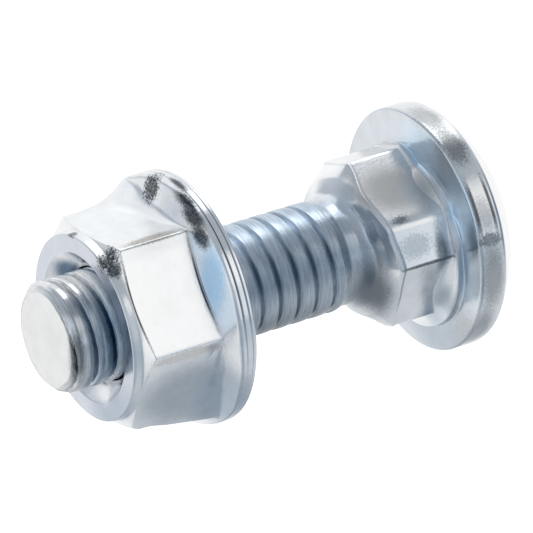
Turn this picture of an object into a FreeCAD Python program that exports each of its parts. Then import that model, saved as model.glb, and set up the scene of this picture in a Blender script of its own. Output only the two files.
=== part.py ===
import FreeCAD, Part
import os

import Sketcher

# Round-head bolt with a truncated square neck, and the hexagon flange nut on its thread.
# The assembly lies on its side, as it comes to rest: the axis runs level along X, from the
# head at -X to the threaded tip at +X, and the nut's flange rests on the plane Z = 0.
# The origin is below the middle of the whole length. All sizes are in millimetres.

SIZES = [
    ("shank_length", 22.0, "from the bearing face under the head to the tip"),
    ("thread_diameter", 5.9, "over the crests of the rolled M6 thread"),
    ("thread_pitch", 1.09, "one turn of the right-hand thread"),
    ("thread_start", 6.0, "bearing face to the start of the full crests"),
    ("groove_start", 6.475, "bearing face to the middle of the thread's groove where it starts"),
    ("groove_depth", 0.4, "crest to root"),
    ("groove_width", 0.8, "across the groove at the crests"),
    ("blank_diameter", 5.6, "plain stretch between neck and thread"),
    ("runout_length", 0.3, "cone that joins the plain stretch to the crests"),
    ("tip_chamfer", 0.42, "45 degree chamfer at the threaded end"),
    ("head_diameter", 12.82, "over the rim"),
    ("head_height", 4.33, "bearing face to the crown of the dome"),
    ("rim_height", 1.18, "straight band round the head"),
    ("rim_edge_break", 0.15, "45 degree break on the band's lower edge"),
    ("neck_width", 7.78, "across the four flats of the neck"),
    ("neck_corner_diameter", 8.9, "across the ends of the cut corners"),
    ("neck_length", 3.85, "bearing face to the front face of the neck"),
    ("neck_cone_width", 0.85, "radial width of the blunt cone on the neck's front"),
    ("neck_cone_height", 0.4, "how far that cone drops to the cut corners"),
    ("neck_roll_angle", -21.5, "roll of the neck's flats about the axis, in degrees"),
    ("root_cone_width", 0.45, "radial width of the cone between the neck's front and the shank"),
    ("root_cone_length", 0.5, "length of that cone"),
    ("collar_diameter", 9.5, "round foot of the neck on the bearing face"),
    ("collar_height", 0.35, "straight part of that foot"),
    ("flare_radius", 1.5, "hollow from the foot up to the flats"),
    ("flare_sink", 0.04, "how far the hollow runs in under the flats"),
    ("nut_place", 13.6, "bearing face of the head to bearing face of the nut"),
    ("nut_width", 10.0, "across flats"),
    ("nut_height", 6.15, "over all, with the flange"),
    ("nut_roll_angle", 7.2, "roll of the nut's flats about the axis, in degrees"),
    ("nut_face_diameter", 9.7, "flat front face"),
    ("nut_step_diameter", 9.86, "foot of the low step round the front face"),
    ("nut_step_height", 0.35, "front face above the corner chamfer"),
    ("nut_chamfer_angle", 23.0, "slope of the corner chamfer, in degrees"),
    ("flange_diameter", 13.5, "over the flange"),
    ("flange_rim_height", 0.7, "bearing face to the break on the flange's upper edge"),
    ("flange_top_break", 0.35, "45 degree break on the upper edge"),
    ("flange_face_break", 0.2, "45 degree break on the edge round the bearing face"),
    ("flange_angle", 22.0, "rise of the flange's top towards the hexagon, in degrees"),
    ("flange_sink", 0.1, "how far that top runs in under the flats"),
    ("bore_clearance", 0.05, "radial, between the thread's crests and the nut's bore"),
    ("front_sink_diameter", 8.0, "wide countersink in the front face"),
    ("front_sink_depth", 0.95, "its depth"),
    ("back_sink_diameter", 6.75, "countersink in the bearing face"),
    ("back_sink_depth", 0.4, "its depth"),
    ("cut_margin", 0.5, "how far a cutting profile reaches past the solid"),
]

# Half sizes that several profiles share, as expressions on the sheet.
THREAD_R = "sizes.thread_diameter / 2"
BLANK_R = "sizes.blank_diameter / 2"
HEAD_R = "sizes.head_diameter / 2"
NECK_HALF = "sizes.neck_width / 2"
NECK_CORNER_R = "sizes.neck_corner_diameter / 2"
COLLAR_R = "sizes.collar_diameter / 2"
FLANGE_R = "sizes.flange_diameter / 2"
BORE_R = "(sizes.thread_diameter / 2 + sizes.bore_clearance)"
NUT_HALF = "sizes.nut_width / 2"
NUT_CORNER_R = "sizes.nut_width / 2 / cos(30 deg)"

# A sketch's origin point and its two axes, as its constraints name them.
ORIGIN = (-1, 1)
AXES = {"level": -1, "upright": -2}

# Points nearer than this, in millimetres, are one point.
SAME_POINT = 1e-6


def make_sheet(doc):
    """The driving dimensions, one row each: name, value, meaning."""
    sheet = doc.addObject("Spreadsheet::Sheet", "sizes")
    for row, (alias, value, meaning) in enumerate(SIZES, start=1):
        sheet.set(f"A{row}", alias)
        sheet.set(f"B{row}", str(value))
        sheet.set(f"C{row}", meaning)
        sheet.setAlias(f"B{row}", alias)
    doc.recompute()
    return sheet


def make_body(doc, name):
    body = doc.addObject("PartDesign::Body", name)
    body.Label = name
    return body


def make_sketch(body, name, role):
    """A sketch on the origin plane of its own body that has this role."""
    plane = [feature for feature in body.Origin.OriginFeatures if feature.Role == role][0]
    sketch = body.newObject("Sketcher::SketchObject", name)
    sketch.AttachmentSupport = (plane, [""])
    sketch.MapMode = "FlatFace"
    return sketch


def pin_down(sketch, edge, end, place):
    """Tie one end of an edge to its place, given as two expressions from the sketch's origin."""
    rows = (("DistanceX", place[0], "upright"), ("DistanceY", place[1], "level"))
    for kind, expression, axis in rows:
        value = float(sketch.evalExpression(expression))
        if expression == "0":
            sketch.addConstraint(Sketcher.Constraint("PointOnObject", edge, end, AXES[axis]))
        elif value > 0:
            row = sketch.addConstraint(Sketcher.Constraint(kind, *ORIGIN, edge, end, value))
            sketch.setExpression(f"Constraints[{row}]", expression)
        else:
            row = sketch.addConstraint(Sketcher.Constraint(kind, edge, end, *ORIGIN, -value))
            sketch.setExpression(f"Constraints[{row}]", f"-({expression})")


def arc_between(start, end, centre):
    """The shorter arc round centre from start to end."""
    middle = (start + end) * 0.5 - centre
    middle.normalize()
    return Part.ArcOfCircle(start, centre + middle * (start - centre).Length, end)


def draw_outline(sketch, corners, arcs=None):
    """Draw a closed outline through corners. arcs gives an edge's number its centre and radius.

    A radius of None puts the centre on the level axis instead.
    """
    arcs = arcs or {}
    points = []
    for across, up in corners:
        x, y = (float(sketch.evalExpression(part)) for part in (across, up))
        points.append(FreeCAD.Vector(x, y, 0))
    ends = []
    for number, start in enumerate(points):
        end = points[(number + 1) % len(points)]
        if number in arcs:
            centre = [float(sketch.evalExpression(part)) for part in arcs[number][0]]
            curve = arc_between(start, end, FreeCAD.Vector(*centre, 0))
            edge = sketch.addGeometry(curve, False)
            forward = sketch.getPoint(edge, 1).distanceToPoint(start) < SAME_POINT
            ends.append((1, 2) if forward else (2, 1))
        else:
            sketch.addGeometry(Part.LineSegment(start, end), False)
            ends.append((1, 2))
    for number, place in enumerate(corners):
        before = number - 1 if number else len(corners) - 1
        join = (before, ends[before][1], number, ends[number][0])
        sketch.addConstraint(Sketcher.Constraint("Coincident", *join))
        pin_down(sketch, number, ends[number][0], place)
    for number, (_, radius) in arcs.items():
        if radius is None:
            on_axis = Sketcher.Constraint("PointOnObject", number, 3, AXES["level"])
            sketch.addConstraint(on_axis)
        else:
            value = float(sketch.evalExpression(radius))
            row = sketch.addConstraint(Sketcher.Constraint("Radius", number, value))
            sketch.setExpression(f"Constraints[{row}]", radius)


def turn_profile(body, name, corners, arcs=None, cut=False):
    """A full turn of a half profile about the X axis, added to the body or cut from it."""
    sketch = make_sketch(body, f"{name}_profile", "XY_Plane")
    draw_outline(sketch, corners, arcs)
    kind = "PartDesign::Groove" if cut else "PartDesign::Revolution"
    feature = body.newObject(kind, name)
    feature.Profile = sketch
    feature.ReferenceAxis = (sketch, ["H_Axis"])
    feature.Angle = 360
    return recompute(feature)


def pad_outline(body, name, corners, length):
    """An outline across the axis, padded towards the tip."""
    sketch = make_sketch(body, f"{name}_outline", "YZ_Plane")
    draw_outline(sketch, corners)
    pad = body.newObject("PartDesign::Pad", name)
    pad.Profile = sketch
    pad.setExpression("Length", length)
    return recompute(pad)


def recompute(feature):
    feature.Document.recompute()
    return feature


def add_head(body):
    """Flat bearing face, straight band and spherical dome."""
    edge = "sizes.rim_edge_break"
    corners = [
        ("0", "0"),
        ("0", f"{HEAD_R} - {edge}"),
        (f"-{edge}", HEAD_R),
        ("-sizes.rim_height", HEAD_R),
        ("-sizes.head_height", "0"),
    ]
    # The dome's centre lies on the axis, as far from the crown as from the band's edge.
    depth = "(sizes.head_height - sizes.rim_height)"
    reach = f"(({HEAD_R})^2 + {depth}^2) / 2 / {depth}"
    dome = {3: ((f"{reach} - sizes.head_height", "0"), None)}
    turn_profile(body, "head", corners, dome)


def add_neck(body):
    """Square neck with cut corners, coned off at the front, on a round foot with a hollow flare."""
    flat_end = f"sqrt(({NECK_CORNER_R})^2 - ({NECK_HALF})^2)"
    signs = [(1, 1), (-1, 1), (-1, -1), (1, -1)]
    corners = []
    for right, top in signs:
        wide = (scaled(NECK_HALF, right), scaled(flat_end, top))
        high = (scaled(flat_end, right), scaled(NECK_HALF, top))
        corners += [wide, high] if right == top else [high, wide]
    pad_outline(body, "neck", corners, "sizes.neck_length")
    margin = "sizes.cut_margin"
    slope = "(sizes.neck_cone_height / sizes.neck_cone_width)"
    inside = f"{NECK_CORNER_R} - sizes.neck_cone_width"
    outside = f"{NECK_CORNER_R} + {margin}"
    cone = [
        (f"sizes.neck_length - sizes.neck_cone_height - {margin} * {slope}", outside),
        ("sizes.neck_length", inside),
        (f"sizes.neck_length + {margin}", inside),
        (f"sizes.neck_length + {margin}", outside),
    ]
    turn_profile(body, "neck_cone", cone, cut=True)
    flare_foot = f"({NECK_HALF} - sizes.flare_sink)"
    rise = f"({COLLAR_R} - {flare_foot})"
    run = f"sqrt(2 * sizes.flare_radius * {rise} - {rise}^2)"
    end = f"sizes.collar_height + {run}"
    foot = [
        ("0", "0"),
        ("0", COLLAR_R),
        ("sizes.collar_height", COLLAR_R),
        (end, flare_foot),
        (end, "0"),
    ]
    flare = {2: ((end, f"{flare_foot} + sizes.flare_radius"), "sizes.flare_radius")}
    turn_profile(body, "foot", foot, flare)


def add_shank(body):
    """Plain stretch with a cone against the neck, then the thread up to a chamfered tip."""
    foot = f"{BLANK_R} + sizes.root_cone_width"
    tip = f"{THREAD_R} - sizes.tip_chamfer"
    corners = [
        ("0", "0"),
        ("0", foot),
        ("sizes.neck_length", foot),
        ("sizes.neck_length + sizes.root_cone_length", BLANK_R),
        ("sizes.thread_start - sizes.runout_length", BLANK_R),
        ("sizes.thread_start", THREAD_R),
        ("sizes.shank_length - sizes.tip_chamfer", THREAD_R),
        ("sizes.shank_length", tip),
        ("sizes.shank_length", "0"),
    ]
    turn_profile(body, "shank", corners)


def cut_thread(body):
    """One helical groove with straight flanks, from the plain stretch out past the tip."""
    half = "sizes.groove_width / 2"
    grown = f"{half} * (1 + sizes.cut_margin / sizes.groove_depth)"
    outside = f"{THREAD_R} + sizes.cut_margin"
    corners = [
        (f"sizes.groove_start - {grown}", outside),
        (f"sizes.groove_start + {grown}", outside),
        ("sizes.groove_start", f"{THREAD_R} - sizes.groove_depth"),
    ]
    sketch = make_sketch(body, "thread_groove", "XY_Plane")
    draw_outline(sketch, corners)
    before = body.Shape.Volume
    groove = body.newObject("PartDesign::SubtractiveHelix", "thread")
    groove.Profile = sketch
    groove.ReferenceAxis = (sketch, ["H_Axis"])
    groove.Mode = "pitch-height-angle"
    groove.setExpression("Pitch", "sizes.thread_pitch")
    groove.setExpression("Height", "sizes.shank_length - sizes.groove_start + sizes.thread_pitch")
    recompute(groove)
    if not body.Shape.Volume < before:
        raise RuntimeError("the thread's groove took nothing off the shank")


def scaled(expression, sign):
    return expression if sign > 0 else f"-({expression})"


def make_bolt(doc):
    """One forging: head, neck and shank."""
    body = make_body(doc, "bolt")
    add_head(body)
    add_neck(body)
    add_shank(body)
    cut_thread(body)
    return body


def make_nut(doc):
    """One piece: hexagon, flange and bore. Its bearing face is at the body's own X = 0."""
    body = make_body(doc, "flange_nut")
    corner = "sizes.nut_width / 2 * tan(30 deg)"
    hexagon = [
        (NUT_CORNER_R, "0"),
        (corner, NUT_HALF),
        (f"-({corner})", NUT_HALF),
        (f"-({NUT_CORNER_R})", "0"),
        (f"-({corner})", f"-({NUT_HALF})"),
        (corner, f"-({NUT_HALF})"),
    ]
    pad_outline(body, "hexagon", hexagon, "sizes.nut_height")
    cut_front(body)
    add_flange(body)
    cut_bore(body)
    return body


def cut_front(body):
    """Corner chamfer and the low step up to the round front face."""
    margin = "sizes.cut_margin"
    step_x = "sizes.nut_height - sizes.nut_step_height"
    step_r = "sizes.nut_step_diameter / 2"
    outside = f"{NUT_CORNER_R} + {margin}"
    slope_x = f"{step_x} - ({outside} - {step_r}) * tan(sizes.nut_chamfer_angle * 1 deg)"
    lean = f"({step_r} - sizes.nut_face_diameter / 2) / sizes.nut_step_height"
    top_x = f"sizes.nut_height + {margin}"
    chamfer = [
        (slope_x, outside),
        (step_x, step_r),
        (top_x, f"sizes.nut_face_diameter / 2 - {margin} * {lean}"),
        (top_x, outside),
    ]
    turn_profile(body, "corner_chamfer", chamfer, cut=True)


def add_flange(body):
    """Disc with broken edges whose top rises as a cone to the hexagon."""
    rim = "sizes.flange_rim_height"
    top_r = f"({FLANGE_R} - sizes.flange_top_break)"
    top_x = f"({rim} + sizes.flange_top_break)"
    inner_r = f"({BORE_R} + sizes.cut_margin)"
    end_r = f"({NUT_HALF} - sizes.flange_sink)"
    end_x = f"{top_x} + ({top_r} - {end_r}) * tan(sizes.flange_angle * 1 deg)"
    corners = [
        ("0", inner_r),
        ("0", f"{FLANGE_R} - sizes.flange_face_break"),
        ("sizes.flange_face_break", FLANGE_R),
        (rim, FLANGE_R),
        (top_x, top_r),
        (end_x, end_r),
        (end_x, inner_r),
    ]
    turn_profile(body, "flange", corners)


def cut_bore(body):
    """Bore over the crests with a countersink at each face."""
    margin = "sizes.cut_margin"
    front_grow = f"{margin} * (sizes.front_sink_diameter / 2 - {BORE_R}) / sizes.front_sink_depth"
    back_grow = f"{margin} * (sizes.back_sink_diameter / 2 - {BORE_R}) / sizes.back_sink_depth"
    corners = [
        (f"-{margin}", "0"),
        (f"-{margin}", f"sizes.back_sink_diameter / 2 + {back_grow}"),
        ("sizes.back_sink_depth", BORE_R),
        ("sizes.nut_height - sizes.front_sink_depth", BORE_R),
        (f"sizes.nut_height + {margin}", f"sizes.front_sink_diameter / 2 + {front_grow}"),
        (f"sizes.nut_height + {margin}", "0"),
    ]
    turn_profile(body, "bore", corners, cut=True)


def place(body, along, turn):
    """Lay a body on its side: its own X = 0 at this place along the bolt, rolled by turn."""
    roll = FreeCAD.Rotation(FreeCAD.Vector(1, 0, 0), 1)
    body.Placement = FreeCAD.Placement(FreeCAD.Vector(), roll)
    middle = "(sizes.shank_length - sizes.head_height) / 2"
    body.setExpression("Placement.Base.x", f"{along} - {middle}")
    body.setExpression("Placement.Base.z", f"max({FLANGE_R}; {HEAD_R})")
    body.setExpression("Placement.Rotation.Angle", turn)


def check(doc, bodies):
    """Stop on a failed object or an unsound solid, before anything is written."""
    for item in doc.Objects:
        if "Invalid" in item.State or "Error" in item.State:
            raise RuntimeError(f"{item.Name} failed: {item.State}")
    for body in bodies:
        shape = body.Shape
        if shape.isNull() or not shape.isValid() or len(shape.Solids) != 1:
            raise RuntimeError(f"{body.Label} is not one sound solid")


def main():
    doc = FreeCAD.newDocument("bolt_with_nut")
    make_sheet(doc)
    bolt = make_bolt(doc)
    nut = make_nut(doc)
    place(bolt, "0", "sizes.neck_roll_angle")
    place(nut, "sizes.nut_place", "sizes.nut_roll_angle")
    doc.recompute()
    check(doc, [bolt, nut])
    os.makedirs("parts", exist_ok=True)
    for body in (bolt, nut):
        box = body.Shape.optimalBoundingBox()
        volume = body.Shape.Volume
        print(f"{body.Label}: {volume:.2f} mm3, {box.XLength:.2f} x {box.YLength:.2f} x {box.ZLength:.2f}")
        body.Shape.exportStep(f"parts/{body.Label}.step")


main()
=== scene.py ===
import math

import bmesh
import bpy
import numpy as np
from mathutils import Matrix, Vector


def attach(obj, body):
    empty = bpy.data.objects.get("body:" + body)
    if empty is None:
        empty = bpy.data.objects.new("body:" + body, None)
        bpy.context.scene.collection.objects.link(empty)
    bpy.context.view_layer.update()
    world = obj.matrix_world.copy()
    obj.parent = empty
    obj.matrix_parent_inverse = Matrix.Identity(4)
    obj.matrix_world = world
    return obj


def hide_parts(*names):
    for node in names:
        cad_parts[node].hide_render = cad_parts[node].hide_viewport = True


# Round-head bolt with a truncated square neck and a hexagon flange nut, in bright zinc plating.
# Every size below is in millimetres. "Along" is measured from the bearing face under the head
# towards the tip, and angles run about that axis from +Y to +Z, in degrees.
MM = 0.001
HEAD_FACE_X = -8.835
AXIS_Z = 6.75

PITCH = 1.09
CREST_RADIUS = 2.95
GROOVE_DEPTH = 0.3

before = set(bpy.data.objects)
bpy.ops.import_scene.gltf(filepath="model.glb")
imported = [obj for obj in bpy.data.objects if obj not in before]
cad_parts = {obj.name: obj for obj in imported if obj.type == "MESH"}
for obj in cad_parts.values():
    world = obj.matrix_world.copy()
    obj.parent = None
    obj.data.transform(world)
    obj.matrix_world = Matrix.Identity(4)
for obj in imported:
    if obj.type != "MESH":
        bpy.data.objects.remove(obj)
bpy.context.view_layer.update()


def linear(colour):
    """An sRGB hex colour as linear red, green, blue and a full alpha."""
    parts = [int(colour[i:i + 2], 16) / 255 for i in (1, 3, 5)]
    return [c / 12.92 if c <= 0.04045 else ((c + 0.055) / 1.055) ** 2.4 for c in parts] + [1.0]


def add(tree, kind, settings=None, links=None):
    """A node of this kind with its settings: attributes by name, and inputs by name or number.

    A link comes from another node's first output, or from a (node, output) pair.
    """
    node = tree.nodes.new(kind)
    for key, value in (settings or {}).items():
        if isinstance(key, str) and hasattr(node, key):
            setattr(node, key, value)
        else:
            node.inputs[key].default_value = value
    for key, source in (links or {}).items():
        source, output = source if isinstance(source, tuple) else (source, 0)
        tree.links.new(source.outputs[output], node.inputs[key])
    return node


# Settings of a Vector Math node: a place in metres as (along, across, up) in millimetres, and
# that place's part square to the axis.
IN_MILLIMETRES = {"operation": "MULTIPLY_ADD", 1: [1 / MM] * 3, 2: [-HEAD_FACE_X, 0, -AXIS_Z]}
OFF_THE_AXIS = {"operation": "MULTIPLY", 1: [0, 1, 1]}
# Sockets of a Mix node: its two numbers, its two colours, and the colour that it gives.
FIRST_NUMBER, SECOND_NUMBER, FIRST_COLOUR, SECOND_COLOUR, MIXED_COLOUR = 2, 3, 6, 7, 2


def fill_ramp(ramp, stops):
    """Give a colour ramp these stops of (position, colour)."""
    while len(ramp.elements) < len(stops):
        ramp.elements.new(0.5)
    for element, (position, colour) in zip(ramp.elements, stops):
        element.position = position
        element.color = linear(colour)


# Surfaces of revolution whose section changes from column to column.

def section(corners, columns):
    """Rows of (along, out) for every column, through these corners with true arcs at each.

    A corner is (along, out, rounding, rows on the arc, rows on the straight run before it).
    Rows crowd towards the ends of a run, so flat faces shade flat up to their edges.
    """
    places = []
    for corner in corners:
        places.append([np.broadcast_to(np.asarray(part, float), columns) for part in corner[:2]])
    points = np.array(places).transpose(0, 2, 1)
    runs = np.diff(points, axis=0)
    lengths = np.maximum(np.linalg.norm(runs, axis=2, keepdims=True), 1e-9)
    ways = runs / lengths
    rows = [points[0]]
    for k in range(1, len(points)):
        rounding, arc_rows, straight_rows = corners[k][2:]
        start, end = points[k], points[k]
        weight = None
        if np.any(rounding) and k < len(points) - 1:
            cosine = np.clip((ways[k - 1] * ways[k]).sum(1, keepdims=True), -1, 1)
            half = np.arccos(cosine) / 2
            # Neighbouring arcs share a run, so each takes a little less than half of it.
            room = 0.48 * np.minimum(lengths[k - 1], lengths[k])
            reach = np.minimum(np.reshape(rounding, (-1, 1)) * np.tan(half), room)
            start = points[k] - ways[k - 1] * reach
            end = points[k] + ways[k] * reach
            weight = np.cos(half)
        before = rows[-1]
        for step in range(1, straight_rows + 1):
            share = 0.5 - 0.5 * math.cos(math.pi * step / (straight_rows + 1))
            rows.append(before + (start - before) * share)
        if weight is None:
            rows.append(start)
            continue
        for share in np.linspace(0, 1, arc_rows):
            a, b, c = (1 - share) ** 2, 2 * share * (1 - share) * weight, share ** 2
            rows.append((a * start + b * points[k] + c * end) / (a + b + c))
    return np.array(rows)


def turned(rows, angles):
    """Rows of (along, out) as points in metres. angles is one row, or one for every row."""
    angles = np.radians(np.broadcast_to(angles, rows.shape[:2]))
    across = rows[..., 1] * np.cos(angles)
    up = rows[..., 1] * np.sin(angles)
    return np.stack([rows[..., 0] + HEAD_FACE_X, across, up + AXIS_Z], axis=-1) * MM


def skin(rings, first):
    """Faces between neighbouring rings of equal length; first is the number of their first point."""
    count, columns = rings.shape[:2]
    starts = first + np.arange(count - 1)[:, None] * columns
    column = np.arange(columns)[None, :]
    low = starts + column
    side = starts + (column + 1) % columns
    return np.stack([low, side, side + columns, low + columns], axis=-1).reshape(-1, 4).tolist()


def make_piece(name, points, faces, material):
    """A smooth-shaded mesh object with its normals outwards."""
    mesh = bpy.data.meshes.new(name)
    mesh.from_pydata([tuple(p) for p in points], [], faces)
    shape = bmesh.new()
    shape.from_mesh(mesh)
    bmesh.ops.remove_doubles(shape, verts=shape.verts, dist=1e-7)
    bmesh.ops.recalc_face_normals(shape, faces=shape.faces)
    shape.to_mesh(mesh)
    shape.free()
    mesh.shade_smooth()
    mesh.materials.append(material)
    piece = bpy.data.objects.new(name, mesh)
    bpy.context.scene.collection.objects.link(piece)
    return piece


def soft_polygon(angles, flats, crispness):
    """Distance from the axis to a ring of flats, each (angle of its normal, distance)."""
    total = 0
    for normal, distance in flats:
        facing = np.maximum(np.cos(np.radians(angles - normal)), 1e-6)
        total = total + (facing / distance) ** crispness
    return total ** (-1 / crispness)


def eased(angles, knots):
    """A smooth closed curve round the axis through knots of (angle, value)."""
    places = np.array([k[0] for k in knots], float)
    values = np.array([k[1] for k in knots], float)
    places = np.concatenate([places - 360, places, places + 360])
    values = np.tile(values, 3)
    wrapped = (np.asarray(angles) + 180) % 360 - 180
    right = np.searchsorted(places, wrapped)
    share = (wrapped - places[right - 1]) / (places[right] - places[right - 1])
    share = share * share * (3 - 2 * share)
    return values[right - 1] * (1 - share) + values[right] * share


# The thread, cut by rule into a plain shank or bore.

THREAD_SIZES = (
    "Pitch", "Crest Radius", "Groove Depth", "Groove Turn",
    "Starts At", "Full From", "Deeper From", "Ends At", "Outwards",
)
# The groove's round side, in turns from its middle, and how much the crests swell between grooves.
GROOVE_SIDE = {"From Min": 0.01, "From Max": 0.14, "interpolation_type": "SMOOTHSTEP"}
CROWN = 0.12


def make_thread_tree():
    """Geometry nodes that cut one right-handed helical groove into a surface round the axis."""
    tree = bpy.data.node_groups.new("cut_thread", "GeometryNodeTree")
    face = tree.interface
    face.new_socket("Geometry", in_out="OUTPUT", socket_type="NodeSocketGeometry")
    face.new_socket("Geometry", in_out="INPUT", socket_type="NodeSocketGeometry")
    for label in THREAD_SIZES:
        face.new_socket(label, in_out="INPUT", socket_type="NodeSocketFloat")
    face.new_socket("Material", in_out="INPUT", socket_type="NodeSocketMaterial")
    group = add(tree, "NodeGroupInput")
    place = add(tree, "GeometryNodeInputPosition")
    where = add(tree, "ShaderNodeVectorMath", IN_MILLIMETRES, {0: place})
    parts = add(tree, "ShaderNodeSeparateXYZ", None, {0: where})
    along, across, up = [(parts, k) for k in range(3)]
    spoke = add(tree, "ShaderNodeVectorMath", OFF_THE_AXIS, {0: where})
    out = (add(tree, "ShaderNodeVectorMath", {"operation": "LENGTH"}, {0: spoke}), "Value")
    # Turns from the middle of the groove, from 0 in the groove to 0.5 on the crest.
    angle = add(tree, "ShaderNodeMath", {"operation": "ARCTAN2"}, {0: up, 1: across})
    turn = add(tree, "ShaderNodeMath", {"operation": "DIVIDE", 1: 2 * math.pi}, {0: angle})
    pitches = add(tree, "ShaderNodeMath", {"operation": "DIVIDE"}, {0: along, 1: (group, "Pitch")})
    wound = add(tree, "ShaderNodeMath", {"operation": "SUBTRACT"}, {0: pitches, 1: turn})
    turns = add(tree, "ShaderNodeMath", {"operation": "SUBTRACT"}, {0: wound, 1: (group, "Groove Turn")})
    off = add(tree, "ShaderNodeMath", {"operation": "PINGPONG", 1: 0.5}, {0: turns})
    # The rolled crests are broad and nearly flat, and the groove between them is narrow and round.
    flank = add(tree, "ShaderNodeMapRange", GROOVE_SIDE, {"Value": off})
    arch = add(tree, "ShaderNodeMath", {"operation": "MULTIPLY", 1: math.pi}, {0: off})
    crown = add(tree, "ShaderNodeMath", {"operation": "SINE"}, {0: arch})
    side = add(tree, "ShaderNodeMath", {"operation": "MULTIPLY", 1: 1 - CROWN}, {0: flank})
    hill = add(tree, "ShaderNodeMath", {"operation": "MULTIPLY_ADD", 1: CROWN}, {0: crown, 2: side})
    hollow = add(tree, "ShaderNodeMath", {"operation": "SUBTRACT", 0: 1.0}, {1: hill})
    # The groove grows out of the plain shank, and the last turns are half as deep again.
    runs_in = {"Value": along, "From Min": (group, "Starts At"), "From Max": (group, "Full From")}
    fade = add(tree, "ShaderNodeMapRange", {"interpolation_type": "SMOOTHSTEP"}, runs_in)
    deepest = add(tree, "ShaderNodeMath", {"operation": "ADD", 1: 1.0}, {0: (group, "Deeper From")})
    runs_deep = {"Value": along, "From Min": (group, "Deeper From"), "From Max": deepest}
    last = add(tree, "ShaderNodeMapRange", {"To Min": 1.0, "To Max": 1.5}, runs_deep)
    depth = hollow
    for factor in ((group, "Groove Depth"), fade, last):
        depth = add(tree, "ShaderNodeMath", {"operation": "MULTIPLY"}, {0: depth, 1: factor})
    # The groove goes inwards from a bolt's crests, and outwards from those of a nut.
    crest = (group, "Crest Radius")
    bottom = add(tree, "ShaderNodeMath", {"operation": "SUBTRACT"}, {0: crest, 1: depth})
    inner = add(tree, "ShaderNodeMath", {"operation": "MINIMUM"}, {0: out, 1: bottom})
    top = add(tree, "ShaderNodeMath", {"operation": "ADD"}, {0: crest, 1: depth})
    outer = add(tree, "ShaderNodeMath", {"operation": "MAXIMUM"}, {0: out, 1: top})
    ways = {0: (group, "Outwards"), FIRST_NUMBER: inner, SECOND_NUMBER: outer}
    cut = add(tree, "ShaderNodeMix", None, ways)
    gain = add(tree, "ShaderNodeMath", {"operation": "SUBTRACT"}, {0: cut, 1: out})
    above_zero = add(tree, "ShaderNodeMath", {"operation": "MAXIMUM", 1: 1e-6}, {0: out})
    share = add(tree, "ShaderNodeMath", {"operation": "DIVIDE"}, {0: gain, 1: above_zero})
    metres = add(tree, "ShaderNodeMath", {"operation": "MULTIPLY", 1: MM}, {0: share})
    offset = add(tree, "ShaderNodeVectorMath", {"operation": "SCALE"}, {0: spoke, "Scale": metres})
    begun = add(tree, "ShaderNodeMath", {"operation": "GREATER_THAN"}, {0: along, 1: (group, "Starts At")})
    not_over = add(tree, "ShaderNodeMath", {"operation": "LESS_THAN"}, {0: along, 1: (group, "Ends At")})
    inside = add(tree, "ShaderNodeMath", {"operation": "MULTIPLY"}, {0: begun, 1: not_over})
    moved = {"Geometry": group, "Selection": inside, "Offset": offset}
    shift = add(tree, "GeometryNodeSetPosition", None, moved)
    real = add(tree, "GeometryNodeRealizeInstances", None, {"Geometry": shift})
    plated = {"Geometry": real, "Material": (group, "Material")}
    finish = add(tree, "GeometryNodeSetMaterial", None, plated)
    add(tree, "NodeGroupOutput", None, {"Geometry": finish})
    return tree


def cut_thread(piece, tree, inputs):
    """Run the tree on a piece and keep the result as its plain mesh."""
    modifier = piece.modifiers.new("thread", "NODES")
    modifier.node_group = tree
    names = {item.name: item.identifier for item in tree.interface.items_tree if item.in_out == "INPUT"}
    for name, value in inputs.items():
        modifier[names[name]] = value
    graph = bpy.context.evaluated_depsgraph_get()
    plain = bpy.data.meshes.new_from_object(piece.evaluated_get(graph))
    piece.modifiers.remove(modifier)
    piece.data = plain
    plain.shade_smooth()
    return piece


# Materials.

# How many of each pattern's features fit in a millimetre. The rolling streaks lie across the
# axis and are long round it. They and the grain are finer on the real plating, and are drawn as
# coarse as they need to show.
CLOUDS = 0.9
SPECKS = 9.0
STREAKS = [9.0, 0.7, 0.7]
SWELLS = 0.7
GRAINS = 6.0
SWELL_HEIGHT = 0.12 * MM
GRAIN_HEIGHT = 0.02 * MM


def spot(tree, where, noise, centre, reach, ragged):
    """A mask of 1 inside a rounded patch round a centre (along, turn, out), sizes in mm.

    ragged runs from 0, a soft cloud, to 1, a patch whose edge breaks up into specks. Most patches carry
    painted highlights, painted reflections and painted shade; others mark satin places and where lines
    show.
    """
    along, turn, out = centre
    bend = math.radians(turn)
    middle = [along, out * math.cos(bend), out * math.sin(bend)]
    offset = add(tree, "ShaderNodeVectorMath", {"operation": "SUBTRACT", 1: middle}, {0: where})
    shape = add(tree, "ShaderNodeVectorMath", {"operation": "DIVIDE", 1: reach}, {0: offset})
    length = add(tree, "ShaderNodeVectorMath", {"operation": "LENGTH"}, {0: shape})
    broken = 0.3 + 2.2 * ragged
    blurred = {0: noise, 2: (length, "Value")}
    rough = add(tree, "ShaderNodeMath", {"operation": "MULTIPLY_ADD", 1: broken}, blurred)
    level = 1.0 + broken / 2
    soft = 0.6 - 0.35 * ragged
    edges = {"From Min": level + soft, "From Max": level - soft, "interpolation_type": "SMOOTHSTEP"}
    patch = add(tree, "ShaderNodeMapRange", edges, {"Value": rough})
    # A ragged patch breaks up into grains, through which the colour beneath it shows.
    grains = {"From Min": 0.42, "From Max": 0.56, "To Min": 1.0, "To Max": 1.0 - 0.3 * ragged}
    holes = add(tree, "ShaderNodeMapRange", grains, {"Value": noise})
    return add(tree, "ShaderNodeMath", {"operation": "MULTIPLY"}, {0: patch, 1: holes})


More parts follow.
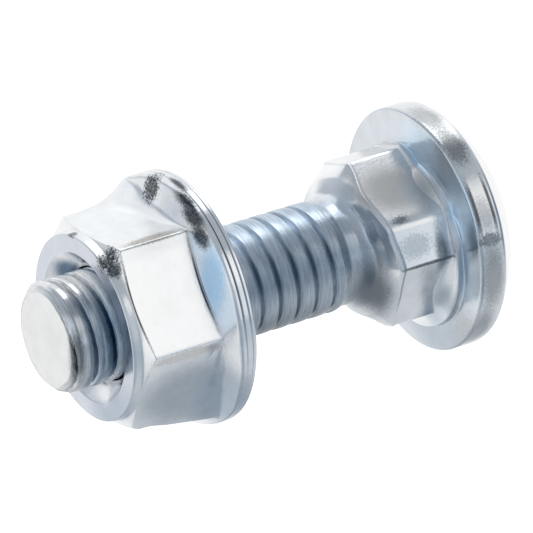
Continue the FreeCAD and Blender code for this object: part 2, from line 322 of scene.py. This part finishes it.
def painted_dark_line(tree, along, out, slope, place, width, region):
    """A mask of a thin ring where the cone along + slope * out = place meets the surface, for a painted
    dark line.
    """
    cone = add(tree, "ShaderNodeMath", {"operation": "MULTIPLY_ADD", 1: slope}, {0: out, 2: along})
    gap = add(tree, "ShaderNodeMath", {"operation": "SUBTRACT", 1: place}, {0: cone})
    size = add(tree, "ShaderNodeMath", {"operation": "ABSOLUTE"}, {0: gap})
    edges = {"From Min": width, "From Max": 0.3 * width, "interpolation_type": "SMOOTHSTEP"}
    thin = add(tree, "ShaderNodeMapRange", edges, {"Value": size})
    return add(tree, "ShaderNodeMath", {"operation": "MULTIPLY"}, {0: thin, 1: region})


def rolling_streaks(tree, where, along, out):
    """How much of its light the thread keeps: the rolling dies drew fine streaks round it."""
    drawn = add(tree, "ShaderNodeVectorMath", {"operation": "MULTIPLY", 1: STREAKS}, {0: where})
    fibres = {"Scale": 1.0, "Detail": 4.0, "Roughness": 0.6}
    streaks = add(tree, "ShaderNodeTexNoise", fibres, {"Vector": drawn})
    darker = {"From Min": 0.38, "From Max": 0.6, "To Min": 0.3}
    streaked = add(tree, "ShaderNodeMapRange", darker, {"Value": streaks})
    # They show on the thread alone: outside its core, inside its crests and past the neck.
    core = add(tree, "ShaderNodeMapRange", {"From Min": 2.4, "From Max": 2.5}, {"Value": out})
    crests = add(tree, "ShaderNodeMapRange", {"From Min": 3.1, "From Max": 3.0}, {"Value": out})
    past_neck = {"From Min": 4.6, "From Max": 5.6, "To Max": 0.4}
    past = add(tree, "ShaderNodeMapRange", past_neck, {"Value": along})
    shell = add(tree, "ShaderNodeMath", {"operation": "MULTIPLY"}, {0: crests, 1: core})
    share = add(tree, "ShaderNodeMath", {"operation": "MULTIPLY"}, {0: shell, 1: past})
    return add(tree, "ShaderNodeMix", {FIRST_NUMBER: 1.0}, {0: share, SECOND_NUMBER: streaked})


def zinc(name, zones, spots, lines, matt, rough, grain):
    """Bright zinc plating on cold forged steel: a cool, slightly clouded mirror with fine grain.

    zones are (along in mm, colour) from head to tip, spots are (centre, reach, colour, ragged),
    lines are (slope, place, width, colour, centre and reach of the region they show in), and
    matt are (centre, reach, added roughness) of places with a satin finish.
    """
    material = bpy.data.materials.new(name)
    material.use_nodes = True
    tree = material.node_tree
    shader = tree.nodes["Principled BSDF"]
    shader.inputs["Metallic"].default_value = 1.0
    place = (add(tree, "ShaderNodeTexCoord"), "Object")
    where = add(tree, "ShaderNodeVectorMath", IN_MILLIMETRES, {0: place})
    along = add(tree, "ShaderNodeSeparateXYZ", None, {0: where})
    spoke = add(tree, "ShaderNodeVectorMath", OFF_THE_AXIS, {0: where})
    out = (add(tree, "ShaderNodeVectorMath", {"operation": "LENGTH"}, {0: spoke}), "Value")
    start, end = zones[0][0], zones[-1][0]
    span = add(tree, "ShaderNodeMapRange", {"From Min": start, "From Max": end}, {"Value": along})
    ramp = add(tree, "ShaderNodeValToRGB", None, {"Fac": span})
    fill_ramp(ramp.color_ramp, [((at - start) / (end - start), tint) for at, tint in zones])
    cloudy = {"Scale": CLOUDS, "Detail": 5.0, "Roughness": 0.6}
    clouds = add(tree, "ShaderNodeTexNoise", cloudy, {"Vector": where})
    speckled = {"Scale": SPECKS, "Detail": 4.0, "Roughness": 0.7}
    specks = add(tree, "ShaderNodeTexNoise", speckled, {"Vector": where})
    # Patches and thin rings of painted highlight, painted reflection and painted shade, laid over the
    # ramp's tints.
    painted_light_and_tints = []
    for centre, reach, tint, ragged in spots:
        painted_light_and_tints.append((spot(tree, where, specks, centre, reach, ragged), tint))
    for slope, ring, width, tint, centre, reach in lines:
        region = spot(tree, where, specks, centre, reach, 0.2)
        painted_light_and_tints.append((painted_dark_line(tree, along, out, slope, ring, width, region), tint))
    colour = (ramp, 0)
    for tint_mask, tint in painted_light_and_tints:
        tinted = {"data_type": "RGBA", SECOND_COLOUR: linear(tint)}
        colour = (add(tree, "ShaderNodeMix", tinted, {0: tint_mask, FIRST_COLOUR: colour}), MIXED_COLOUR)
    veiled = {"From Min": 0.35, "From Max": 0.62, "To Min": 0.92}
    faded = add(tree, "ShaderNodeMapRange", veiled, {"Value": clouds})
    lined = rolling_streaks(tree, where, along, out)
    level = add(tree, "ShaderNodeMath", {"operation": "MULTIPLY"}, {0: faded, 1: lined})
    shade = add(tree, "ShaderNodeVectorMath", {"operation": "SCALE"}, {0: colour, "Scale": level})
    tree.links.new(shade.outputs[0], shader.inputs["Base Color"])
    sheen = {"From Min": 0.3, "From Max": 0.7, "To Min": rough - 0.05, "To Max": rough + 0.07}
    gloss = add(tree, "ShaderNodeMapRange", sheen, {"Value": clouds})
    for centre, reach, more in matt:
        dull = spot(tree, where, specks, centre, reach, 0.0)
        satin = {"operation": "MULTIPLY_ADD", 1: more}
        gloss = add(tree, "ShaderNodeMath", satin, {0: dull, 2: gloss})
    tree.links.new(gloss.outputs[0], shader.inputs["Roughness"])
    waves = add(tree, "ShaderNodeTexNoise", {"Scale": SWELLS, "Detail": 1.0}, {"Vector": where})
    low = {"Strength": 0.08, "Distance": SWELL_HEIGHT}
    swell = add(tree, "ShaderNodeBump", low, {"Height": waves})
    fine = add(tree, "ShaderNodeTexNoise", {"Scale": GRAINS, "Detail": 3.0}, {"Vector": where})
    rippled = {"Strength": grain, "Distance": GRAIN_HEIGHT}
    bump = add(tree, "ShaderNodeBump", rippled, {"Height": fine, "Normal": swell})
    tree.links.new(bump.outputs["Normal"], shader.inputs["Normal"])
    return material


# The bolt.

BOLT_COLUMNS = 384
SHANK_COLUMNS = 128
HEAD_RADIUS = 6.52
# The head and the round foot stand a little off the axis: how far, and towards which angle.
HEAD_SHIFT, HEAD_SHIFT_TURN = 0.11, -56
FOOT_SHIFT, FOOT_SHIFT_TURN = 0.65, -65
DOME_TOP = -4.33
DOME_END = -1.48
DOME_ROWS = 28
FOOT_HEIGHT = 0.33
FOOT_RADIUS = 4.6
FLARE_RADIUS = 1.5
FLARE_BOTTOM = 3.8
SHANK_FROM = 5.4
SHANK_RADIUS = 2.8
THREAD_FROM = 5.45
BOLT_END = 22.0
TIP_CHAMFER = 0.42
ROW_STEP = 0.045
NECK_TURN = -21.5
# The forging is uneven: the flats towards the viewer are true, the far ones are fuller.
NECK_FLATS = [(NECK_TURN + 90 * k, reach) for k, reach in enumerate((4.02, 3.89, 4.22, 3.92))]
NECK_CORNERS = [(NECK_TURN + 45 + 90 * k, 4.42) for k in range(4)]
# A flat ends this far from its middle, in degrees.
NECK_EDGE_TURN = 29
# Where the neck's front edge stands along the axis, by angle.
NECK_FRONT = [
    (-170, 3.3), (-120, 2.7), (-86, 2.55), (-55, 3.0), (-30, 3.25),
    (7.6, 3.45), (39.6, 3.8), (68.8, 3.95), (98, 3.55), (140, 3.4),
]
# On the far upper side the neck runs down to the shank in one long slope.
NECK_LEAN = [(-170, 0.6), (-120, 0.1), (60, 0.0), (90, 0.6), (125, 1.0), (160, 1.0)]


def bolt_columns():
    """Angles of the bolt's columns: even ones, and ones crowded on the neck's edges."""
    even = np.arange(BOLT_COLUMNS) * 360 / BOLT_COLUMNS - 180
    fine = np.linspace(-180, 180, 7201)
    density = np.ones_like(fine)
    for normal, _ in NECK_FLATS:
        for edge in (normal - NECK_EDGE_TURN, normal + NECK_EDGE_TURN):
            gap = (fine - edge + 180) % 360 - 180
            density += 5 * np.exp(-(gap / 3) ** 2)
    reached = np.concatenate([[0], np.cumsum((density[1:] + density[:-1]) / 2)])
    crowded = np.interp(np.arange(BOLT_COLUMNS) / BOLT_COLUMNS * reached[-1], reached, fine)
    return even, crowded


def neck_outline(turn):
    """Distance from the axis to the neck's flats and cut corners."""
    # The edges are crisp, apart from the upper one towards the viewer, at 37 degrees.
    crispest, roundest = 130, 35
    crispness = crispest - (crispest - roundest) * np.exp(-((turn - 37) / 12) ** 2)
    return soft_polygon(turn, NECK_FLATS + NECK_CORNERS, crispness)


def head_rows(turn, collar):
    """The dome, the rim, the bearing face and the round foot."""
    rim = HEAD_RADIUS + HEAD_SHIFT * np.cos(np.radians(turn - HEAD_SHIFT_TURN))
    corners = []
    # The dome grows steeper towards the rim.
    for share in np.linspace(0, 1, DOME_ROWS)[:-1]:
        corners.append((DOME_TOP + (DOME_END - DOME_TOP) * share ** 2.25, rim * share, 0, 1, 0))
    corners += [
        (DOME_END, rim, 0.35, 8, 1),
        (0.0, rim, 0.17, 6, 4),
        (0.0, collar, 0.06, 4, 8),
        (FOOT_HEIGHT, collar, 0.1, 4, 2),
    ]
    # The flare goes on from here: its first stretch only turns the arc on the foot's edge.
    flare = (0.9, 4.3, 0, 1, 0)
    return section(corners + [flare], len(turn))[:-1]


def flare_rows(neck, collar):
    """The hollow flare from the round foot up to the flats, and where it meets them."""
    # It is a quarter arc that the neck cuts off.
    climb = collar - FLARE_BOTTOM
    end = FOOT_HEIGHT + np.sqrt(2 * FLARE_RADIUS * climb - climb ** 2)
    drop = np.clip(neck - FLARE_BOTTOM, 0.0, climb)
    meet = end - np.sqrt(np.maximum(2 * FLARE_RADIUS * drop - drop ** 2, 0))
    rows = []
    for share in np.linspace(0, 1, 13)[1:]:
        place = FOOT_HEIGHT + (meet - FOOT_HEIGHT) * share
        rise = FLARE_RADIUS - np.sqrt(np.maximum(FLARE_RADIUS ** 2 - (end - place) ** 2, 0))
        rows.append(np.stack([place, np.maximum(FLARE_BOTTOM + rise, neck)], axis=-1))
    return np.array(rows), meet


def neck_rows(turn, neck, meet):
    """The neck's flats, its front edge, and its front down to the shank."""
    front = eased(turn, NECK_FRONT)
    lean = eased(turn, NECK_LEAN)
    # Forging left a low burr on the front edge, except where it leans.
    burr = 0.06 * (1 - lean)
    corners = [
        (meet, neck, 0, 1, 0),
        (front - 0.2, neck, 0.2, 3, 10),
        (front, neck + burr, 0.05 + 0.6 * lean, 6, 3),
        (front + 0.12, neck - 0.16 + burr, 0.1, 3, 1),
        (np.maximum(3.82 + 0.5 * lean, front + 0.2), 3.64 + 0.26 * lean, 0.3 + 0.6 * lean, 5, 4),
        (4.4 + 0.56 * lean, SHANK_RADIUS + 0.2 * lean, 0.9, 9, 4),
        (SHANK_FROM, SHANK_RADIUS, 0, 1, 3),
    ]
    return section(corners, len(turn))[1:]


def shank_rows():
    """The shank, which grows to the crests' radius, and its chamfered tip."""
    corners = []
    for place in np.arange(THREAD_FROM, BOLT_END - 0.45, ROW_STEP):
        radius = min(SHANK_RADIUS + (place - THREAD_FROM) * 0.3, CREST_RADIUS)
        corners.append((place, radius, 0, 1, 0))
    for share in np.linspace(0, 1, 9)[:-1]:
        shrink = TIP_CHAMFER * share
        corners.append((BOLT_END - TIP_CHAMFER + shrink, CREST_RADIUS - shrink, 0, 1, 0))
    corners += [(BOLT_END, CREST_RADIUS - TIP_CHAMFER, 0.12, 6, 0), (BOLT_END, 0.0, 0, 1, 8)]
    return section(corners, SHANK_COLUMNS)


def make_bolt(material, tree):
    even, crowded = bolt_columns()
    neck = neck_outline(crowded)
    foot = FOOT_RADIUS + FOOT_SHIFT * np.cos(np.radians(crowded - FOOT_SHIFT_TURN))
    collar = np.maximum(foot, neck + 0.1)
    flare, meet = flare_rows(neck, collar)
    rows = np.concatenate([head_rows(crowded, collar), flare, neck_rows(crowded, neck, meet)])
    # Columns are even on the round head and shank, and crowded on the neck.
    mix = np.interp(rows[:, :1, 0], (-0.05, 0.25, 4.45, 5.35), (0, 1, 1, 0))
    rings = turned(rows, even * (1 - mix) + crowded * mix)
    # The shank has a third of the columns; its first ring joins the head's last one.
    step = BOLT_COLUMNS // SHANK_COLUMNS
    shank = turned(shank_rows(), even[::step])
    first = rings.shape[0] * BOLT_COLUMNS
    faces = skin(rings, 0) + skin(shank, first)
    for k in range(SHANK_COLUMNS):
        edge = [first - BOLT_COLUMNS + (step * k + j) % BOLT_COLUMNS for j in range(step + 1)]
        faces.append(edge + [first + (k + 1) % SHANK_COLUMNS, first + k])
    points = np.concatenate([rings.reshape(-1, 3), shank.reshape(-1, 3)])
    piece = make_piece("bolt_forging", points, faces, material)
    inputs = {
        "Pitch": PITCH,
        "Crest Radius": CREST_RADIUS,
        "Groove Depth": GROOVE_DEPTH,
        "Groove Turn": 0.0,
        "Starts At": THREAD_FROM,
        "Full From": 6.7,
        "Deeper From": 18.5,
        "Ends At": BOLT_END - 0.01,
        "Outwards": 0.0,
        "Material": material,
    }
    return cut_thread(piece, tree, inputs)


# The nut.

NUT_TURN = 7.2
NUT_PLACE = 13.6
NUT_HEIGHT = 6.15
HALF_ACROSS_FLATS = 5.0
FLANGE_RADIUS = 6.745
FLANGE_EDGE = 0.95
FLANGE_SLOPE = 20
BORE_RADIUS = 3.0
BACK_SINK = 0.4
BACK_SINK_RADIUS = 3.375
TOP_SINK = 0.95
TOP_SINK_RADIUS = 4.0
# Two fine turned rings on the flange's rim, each from, deepest and to, as shares of its height.
RIM_RINGS = ((0.24, 0.27, 0.3), (0.59, 0.63, 0.67))
# Towards the viewer the flats meet the flange in a crisp line. The upper corner swells into it
# over a long hollow, and the lower one runs out in a gentle slope.
UPPER_SWELL = [(-170, 0.5), (-120, 0.0), (67, 0.0), (97, 0.35), (127, 1.0), (160, 1.0)]
LOWER_SLOPE = [(-110, 0.0), (-53, 1.0), (-15, 0.35), (7, 0.0)]
# How deep the turned rings are, which are worn away below.
RING_DEPTH = [(-170, 0.04), (-60, 0.0), (-20, 0.01), (35, 0.05), (120, 0.05)]


def nut_columns():
    """Angles crowded on the six edges of the hexagon."""
    half = np.concatenate([np.linspace(0, 26, 14), np.linspace(26, 30, 9)[1:]])
    sector = np.concatenate([-half[:0:-1], half[:-1]])
    return np.concatenate([NUT_TURN + 30 + 60 * k + sector for k in range(6)])


def make_nut(material, tree):
    angles = nut_columns()
    flats = [(NUT_TURN + 30 + 60 * k, HALF_ACROSS_FLATS) for k in range(6)]
    hexagon = soft_polygon(angles, flats, 110)
    base = NUT_PLACE
    top = base + NUT_HEIGHT
    upper = eased(angles, UPPER_SWELL)
    lower = eased(angles, LOWER_SLOPE)
    groove = eased(angles, RING_DEPTH)
    rim_r = FLANGE_RADIUS - 0.12 * lower
    rim_s = base + FLANGE_EDGE + 0.3 * upper - 0.45 * lower
    tall = np.minimum(1, (rim_s - base) / FLANGE_EDGE)
    # The flange's top is a cone, and the flats run into it.
    meet_r = hexagon + 0.85 * upper + 0.62 * lower
    meet_s = rim_s + (rim_r - meet_r) * math.tan(math.radians(FLANGE_SLOPE))
    run_s = base + 1.6 + 1.5 * upper + 1.9 * lower
    run_r = hexagon + 0.1 * upper + 0.2 * lower
    swell = upper + lower
    # The corners are chamfered at 23 degrees, up to a low round step under the top face.
    step_s, step_r = top - 0.52, 4.99
    edge_s = step_s - (hexagon - step_r) * math.tan(math.radians(23))
    corners = [
        (base + BACK_SINK, BORE_RADIUS, 0, 1, 0),
        (base, BACK_SINK_RADIUS, 0.1, 4, 3),
        (base, rim_r, 0.2, 6, 8),
    ]
    for (ring_from, deepest, ring_to), straight_rows in zip(RIM_RINGS, (2, 3)):
        corners += [
            (base + ring_from * tall, rim_r, 0, 1, straight_rows),
            (base + deepest * tall, rim_r - groove, 0, 1, 1),
            (base + ring_to * tall, rim_r, 0, 1, 1),
        ]
    corners += [
        (rim_s, rim_r, 0.5, 8, 2),
        (meet_s, meet_r, 0.07 + 1.4 * upper + 2.0 * lower, 8, 8),
        (run_s, run_r, 3.0 * swell, 8, 6),
        (base + 4.4, hexagon, 3.0 * swell, 6, 4),
        (edge_s, hexagon, 0.06 + 1.5 * lower, 6, 8),
        (step_s, step_r, 0.1, 4, 6),
        (top, 4.93, 0.08, 4, 2),
        (top, TOP_SINK_RADIUS, 0.08, 4, 6),
        (top - TOP_SINK, BORE_RADIUS, 0, 1, 6),
    ]
    # Close rows line the bore, for the thread to be cut into.
    deep = np.linspace(top - TOP_SINK, base + BACK_SINK, 96)[1:-1]
    bore = np.broadcast_arrays(deep[:, None], np.full(len(angles), BORE_RADIUS))
    rows = np.concatenate([section(corners, len(angles)), np.stack(bore, axis=-1)])
    rings = turned(rows, angles)
    # The first ring again, at the end, closes the bore.
    rings = np.concatenate([rings, rings[:1]])
    piece = make_piece("flange_nut_forging", rings.reshape(-1, 3), skin(rings, 0), material)
    inputs = {
        "Pitch": PITCH,
        "Crest Radius": BORE_RADIUS,
        "Groove Depth": GROOVE_DEPTH,
        "Groove Turn": 0.5,
        "Starts At": base + 0.02,
        "Full From": base + BACK_SINK,
        "Deeper From": top,
        "Ends At": top - 1.7,
        "Outwards": 1.0,
        "Material": material,
    }
    return cut_thread(piece, tree, inputs)


# Studio.

# Where the photo was taken from: the way back from the object, and the rest in metres.
CAMERA_BACK = Vector((0.460, 0.7395, 0.4909)).normalized()
CAMERA_DISTANCE = 0.359
CAMERA_TARGET = Vector((-0.00004, -0.00015, 0.00698))
# The lens and the sensor are in millimetres.
CAMERA_LENS = 473
CAMERA_SENSOR = 36
FLOOR_REACH = 1.0


def make_camera():
    data = bpy.data.cameras.new("camera")
    data.lens = CAMERA_LENS
    data.sensor_width = CAMERA_SENSOR
    data.clip_start = 0.01
    data.clip_end = 10
    camera = bpy.data.objects.new("camera", data)
    camera.location = CAMERA_TARGET + CAMERA_BACK * CAMERA_DISTANCE
    camera.rotation_mode = "QUATERNION"
    camera.rotation_quaternion = (-CAMERA_BACK).to_track_quat("-Z", "Y")
    bpy.context.scene.collection.objects.link(camera)
    bpy.context.scene.camera = camera


def make_floor():
    """A sheet of matt white card: an even ground with no gloss, on which only the shadow shows."""
    mesh = bpy.data.meshes.new("floor")
    ways = ((-1, -1), (1, -1), (1, 1), (-1, 1))
    mesh.from_pydata([(FLOOR_REACH * x, FLOOR_REACH * y, 0) for x, y in ways], [], [(0, 1, 2, 3)])
    material = bpy.data.materials.new("matt white card")
    material.use_nodes = True
    tree = material.node_tree
    shader = tree.nodes["Principled BSDF"]
    shader.inputs["Base Color"].default_value = linear("#ffffff")
    shader.inputs["Roughness"].default_value = 0.9
    shader.inputs["Specular IOR Level"].default_value = 0.0
    # The card glows a little, so the shadow stays faint, and the metal sees the studio past it.
    shader.inputs["Emission Color"].default_value = linear("#ffffff")
    shader.inputs["Emission Strength"].default_value = 0.65
    path = add(tree, "ShaderNodeLightPath")
    open_way = add(tree, "ShaderNodeBsdfTransparent")
    seen = add(tree, "ShaderNodeMixShader", None, {0: (path, "Is Glossy Ray"), 1: shader, 2: open_way})
    tree.links.new(seen.outputs[0], tree.nodes["Material Output"].inputs["Surface"])
    mesh.materials.append(material)
    floor = bpy.data.objects.new("floor", mesh)
    bpy.context.scene.collection.objects.link(floor)
    return floor


def towards(turn, height):
    """The unit vector at this turn about +Z from +X and this height over the horizon, in degrees."""
    turn, height = math.radians(turn), math.radians(height)
    level = math.cos(height)
    return Vector((level * math.cos(turn), level * math.sin(turn), math.sin(height)))


# Soft panels round the object: turn, height, full within, gone beyond (degrees), and colour.
PANELS = [
    (162, 5, 8, 34, "#66788c"),
    (70, -20, 20, 50, "#9aa8b6"),
    (-60, -32, 18, 42, "#ffffff"),
    (-135, -15, 15, 45, "#ffffff"),
    (-105, 30, 32, 48, "#f8fafc"),
    (118, 12, 7, 15, "#e6edf4"),
    (124, 38, 10, 18, "#ffffff"),
    (-15, -9, 10, 24, "#ffffff"),
    (18, 16, 8, 22, "#e2effb"),
    (-100, -8, 12, 26, "#ffffff"),
]
# The studio's grey from straight below (0) to straight above (1).
SKY = [(0.0, "#d0d5da"), (0.25, "#d0d5da"), (0.5, "#b3bcc6"), (0.75, "#b4bcc5"), (1.0, "#a9b0b8")]


def make_world():
    """A grey studio with soft panels, which only the metal sees: the camera sees plain white."""
    world = bpy.data.worlds.new("studio")
    bpy.context.scene.world = world
    world.use_nodes = True
    tree = world.node_tree
    tree.nodes.clear()
    way = (add(tree, "ShaderNodeTexCoord"), "Generated")
    parts = add(tree, "ShaderNodeSeparateXYZ", None, {0: way})
    height = add(tree, "ShaderNodeMapRange", {"From Min": -1.0, "From Max": 1.0}, {"Value": (parts, 2)})
    sky = add(tree, "ShaderNodeValToRGB", None, {"Fac": height})
    fill_ramp(sky.color_ramp, SKY)
    seen = (sky, 0)
    for turn, rise, full, gone, colour in PANELS:
        middle = {"operation": "DOT_PRODUCT", 1: towards(turn, rise)}
        facing = (add(tree, "ShaderNodeVectorMath", middle, {0: way}), "Value")
        cosines = [math.cos(math.radians(angle)) for angle in (gone, full)]
        edges = {"From Min": cosines[0], "From Max": cosines[1], "interpolation_type": "SMOOTHSTEP"}
        share = add(tree, "ShaderNodeMapRange", edges, {"Value": facing})
        panel = {"data_type": "RGBA", SECOND_COLOUR: linear(colour)}
        seen = (add(tree, "ShaderNodeMix", panel, {0: share, FIRST_COLOUR: seen}), MIXED_COLOUR)
    camera_ray = (add(tree, "ShaderNodeLightPath"), "Is Camera Ray")
    white = {"data_type": "RGBA", SECOND_COLOUR: linear("#ffffff")}
    seen = (add(tree, "ShaderNodeMix", white, {0: camera_ray, FIRST_COLOUR: seen}), MIXED_COLOUR)
    light = add(tree, "ShaderNodeBackground", {"Strength": 1.0}, {"Color": seen})
    add(tree, "ShaderNodeOutputWorld", None, {"Surface": light})


def make_lamp(name, place, size, power):
    data = bpy.data.lights.new(name, "AREA")
    data.shape = "DISK"
    data.size = size
    data.energy = power
    lamp = bpy.data.objects.new(name, data)
    lamp.location = place
    lamp.rotation_mode = "QUATERNION"
    lamp.rotation_quaternion = (-Vector(place)).to_track_quat("-Z", "Y")
    bpy.context.scene.collection.objects.link(lamp)
    return lamp


# Tints of the plating along each piece: (along, colour). The darker, bluer stretches are painted light:
# painted shade along the thread for its narrow grooves, and bluish painted reflections on the head's
# bearing face and the nut's top face.
BOLT_ZONES = [
    (-4.4, "#fdfdfe"), (-1.5, "#fcfcfd"), (-1.15, "#eceeef"), (-0.15, "#e9ebec"),
    (0.0, "#d6dde4"), (0.3, "#fafbfb"), (1.5, "#f6f7f8"), (4.0, "#e6e9ec"),
    (5.0, "#c3cdd7"), (20.8, "#c0cad4"), (21.6, "#cfd3d6"), (21.95, "#e9eaea"),
]
NUT_ZONES = [
    (13.6, "#f3f5f7"), (14.6, "#eff2f5"), (16.0, "#fafbfc"),
    (19.0, "#fcfdfd"), (19.7, "#f6f7f8"), (19.75, "#d4d9e2"),
]
# Patches painted on the plating, mostly painted highlights, painted reflections and painted shade: centre
# (along, turn, out), reach along X, Y and Z, colour, raggedness.
BOLT_SPOTS = [
    # The thread: a bluish painted reflection above, a grey stripe of painted shade towards the viewer that
    # damps its highlight, painted shade below, and a band of painted highlight.
    ((11.5, 100, 2.9), (8, 2.4, 1.1), "#d0dfee", 0.1),
    ((11.5, 31, 2.9), (7, 0.8, 1.0), "#93a3b3", 0.1),
    ((11.5, -50, 2.9), (7, 1.6, 1.6), "#929aa2", 0.1),
    ((12.7, 42, 2.9), (0.9, 1.5, 1.8), "#eef3f8", 0.1),
    # The hollow before the thread: painted shade below, and a painted highlight on the far slope.
    ((4.4, -22, 3.2), (1.0, 1.3, 1.8), "#7b8186", 0.1),
    ((4.3, 122, 3.8), (1.4, 1.9, 1.4), "#fbfcfd", 0.0),
    # The neck's upper flat: a warm grey, made darker as painted shade that damps the window lamp's
    # highlight on it.
    ((2.2, 68, 3.9), (2.2, 2.0, 0.9), "#c0bfbd", 0.15),
    # The bearing face round the foot: sky-blue painted reflections, greyer below.
    ((0, 80, 4.9), (0.3, 1.9, 1.3), "#d9eaf8", 0.0),
    ((0, 36, 5.4), (0.3, 1.5, 1.9), "#e4f3ff", 0.1),
    ((0, -5, 5.1), (0.3, 1.5, 1.9), "#d8e2eb", 0.05),
    ((0, -62, 5.3), (0.3, 3.0, 1.7), "#b9c3cd", 0.0),
    # Darker and lighter patches on the flare and the neck, a thin dark painted line along the neck's edge
    # at 7.5 degrees, and painted shade on the thread just past the nut.
    ((1.2, 60, 4.0), (0.8, 1.0, 0.7), "#bfc3c6", 0.1),
    ((2.9, 41, 4.25), (0.5, 0.3, 0.2), "#8b9196", 0.8),
    ((19.8, 15, 2.9), (0.5, 1.2, 2.6), "#8ea4b8", 0.1),
    ((1.0, 12, 4.5), (0.35, 0.6, 1.2), "#8d979f", 0.2),
    ((2.5, 21, 4.4), (0.9, 0.4, 0.7), "#c6ccd1", 0.7),
    ((1.9, 7.5, 4.6), (1.7, 0.14, 0.1), "#6f757a", 0.4),
    # Painted reflections on the head's rim, lighter and darker greys from the top down.
    ((-0.6, 86, 6.5), (0.6, 1.5, 0.7), "#c2c4c6", 0.6),
    ((-0.65, 66, 6.5), (0.6, 1.4, 0.9), "#9b9ea0", 0.6),
    ((-0.7, 30, 6.5), (0.4, 0.7, 1.0), "#c3c6c8", 0.6),
    ((-0.7, 18, 6.5), (0.6, 0.3, 0.35), "#7d8185", 0.7),
    ((-0.7, 0, 6.5), (0.6, 1.0, 1.7), "#b4b8bb", 0.4),
    # The foot's lower side and the rim beside it: bluish painted reflections and grey painted shade.
    ((0.7, -30, 4.8), (0.6, 1.0, 1.2), "#b4bec8", 0.1),
    ((0.8, -52, 4.8), (0.8, 1.2, 1.0), "#c3cdd6", 0.0),
    ((-0.5, -34, 6.5), (0.6, 2.0, 1.8), "#a9aeb2", 0.3),
    # The tip: painted highlights on its upper side, and painted shade on the chamfer low towards the
    # viewer.
    ((21.2, 112, 2.7), (0.8, 1.9, 1.0), "#f4f6f8", 0.1),
    ((20.5, 95, 2.9), (1.3, 1.6, 0.5), "#ffffff", 0.1),
    ((21.75, 5, 2.7), (0.3, 0.5, 1.7), "#8f9396", 0.3),
]
NUT_SPOTS = [
    # Painted shade, bluish grey, on the lower side of the hexagon, the flange and the top face.
    ((16.3, -30, 5.4), (3.2, 2.2, 2.5), "#b4bcc4", 0.0),
    ((14.6, -35, 6.3), (1.2, 2.5, 2.5), "#a6b2bf", 0.0),
    ((19.75, -50, 4.5), (0.5, 2.2, 1.8), "#b4bfcc", 0.1),
    # A pale blue painted reflection on the flange's cone towards the viewer, and painted reflections along
    # the near flat's two edges, darker above and paler below.
    ((14.9, 38, 5.8), (0.4, 0.9, 2.1), "#c3ddf2", 0.2),
    ((16.8, 69.5, 5.68), (1.6, 0.4, 0.16), "#bab6b2", 0.5),
    ((16.9, 3, 5.6), (2.0, 0.3, 0.4), "#dcd9d6", 0.7),
    # Dark painted reflections along the flange's upper side, and a ragged dark one on its swell.
    ((14.2, 89, 6.7), (0.2, 0.8, 0.3), "#5a6166", 0.3),
    ((14.5, 78, 6.6), (0.25, 1.0, 0.4), "#3c4348", 0.3),
    ((14.65, 69, 6.4), (0.25, 0.9, 0.5), "#3c4348", 0.3),
    ((14.75, 59, 6.2), (0.2, 0.7, 0.6), "#4a5156", 0.4),
    ((14.8, 103, 6.2), (0.75, 0.6, 0.7), "#30363b", 1.0),
    # Ragged dark painted reflections at the hexagon's upper corner.
    ((19.45, 69, 5.25), (0.5, 0.6, 0.75), "#353c42", 0.9),
    ((19.4, 61, 5.1), (0.4, 0.35, 0.55), "#4a5157", 0.7),
    ((19.7, 105, 5.0), (0.3, 0.35, 0.2), "#6b7277", 0.8),
    # The top face's countersink: painted shade on the far side, painted glints below.
    ((19.1, 145, 3.3), (0.5, 1.0, 0.9), "#6f8498", 0.1),
    ((19.1, -65, 3.6), (0.6, 1.0, 0.6), "#ffffff", 0.3),
]
# Thin painted dark lines: painted shade in the nut's creases and turned rings, and dark painted
# reflections near the head rim's edges. Each is slope and place of the cone it lies on, width, colour, and
# where it shows.
BOLT_LINES = [
    (0, -0.24, 0.17, "#565c61", (-0.2, 34, 6.5), (0.6, 1.1, 1.6)),
    (0, -1.2, 0.14, "#60666b", (-1.2, 34, 6.5), (0.6, 1.1, 1.6)),
]
NUT_LINES = [
    (0.4245, 21.29, 0.07, "#4b4440", (18.9, 37, 5.0), (0.9, 1.9, 1.9)),
    (0.364, 17.08, 0.09, "#3d3a3a", (15.2, 37, 5.0), (0.7, 1.8, 1.8)),
    (0, 13.86, 0.05, "#a9aeb3", (13.9, 45, 6.7), (0.5, 3.2, 3.4)),
    (0, 14.23, 0.06, "#6a6f74", (14.2, 45, 6.7), (0.5, 3.2, 3.4)),
]
# Satin places: centre, reach, added roughness.
BOLT_MATT = [((2.2, 68, 3.9), (1.6, 1.6, 0.9), 0.3), ((11.5, 0, 0), (6.5, 5, 5), 0.14)]
NUT_MATT = [((17.0, 97, 5.0), (2.4, 2.8, 0.5), 0.3)]

bolt_zinc = zinc(
    "bolt zinc-plated steel", BOLT_ZONES, BOLT_SPOTS, BOLT_LINES, BOLT_MATT, rough=0.2, grain=0.25,
)
nut_zinc = zinc(
    "nut zinc-plated steel", NUT_ZONES, NUT_SPOTS, NUT_LINES, NUT_MATT, rough=0.15, grain=0.15,
)
thread_tree = make_thread_tree()

bolt = make_bolt(bolt_zinc, thread_tree)
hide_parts("bolt")
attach(bolt, "bolt")

nut = make_nut(nut_zinc, thread_tree)
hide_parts("flange_nut")
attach(nut, "nut")

make_camera()
make_world()
floor = make_floor()
# A soft window behind the object, half a metre away: its width in metres and power in watts.
make_lamp("window", 0.5 * towards(-125, 58), 0.25, 0.2)

bpy.context.scene.view_settings.view_transform = "Standard"
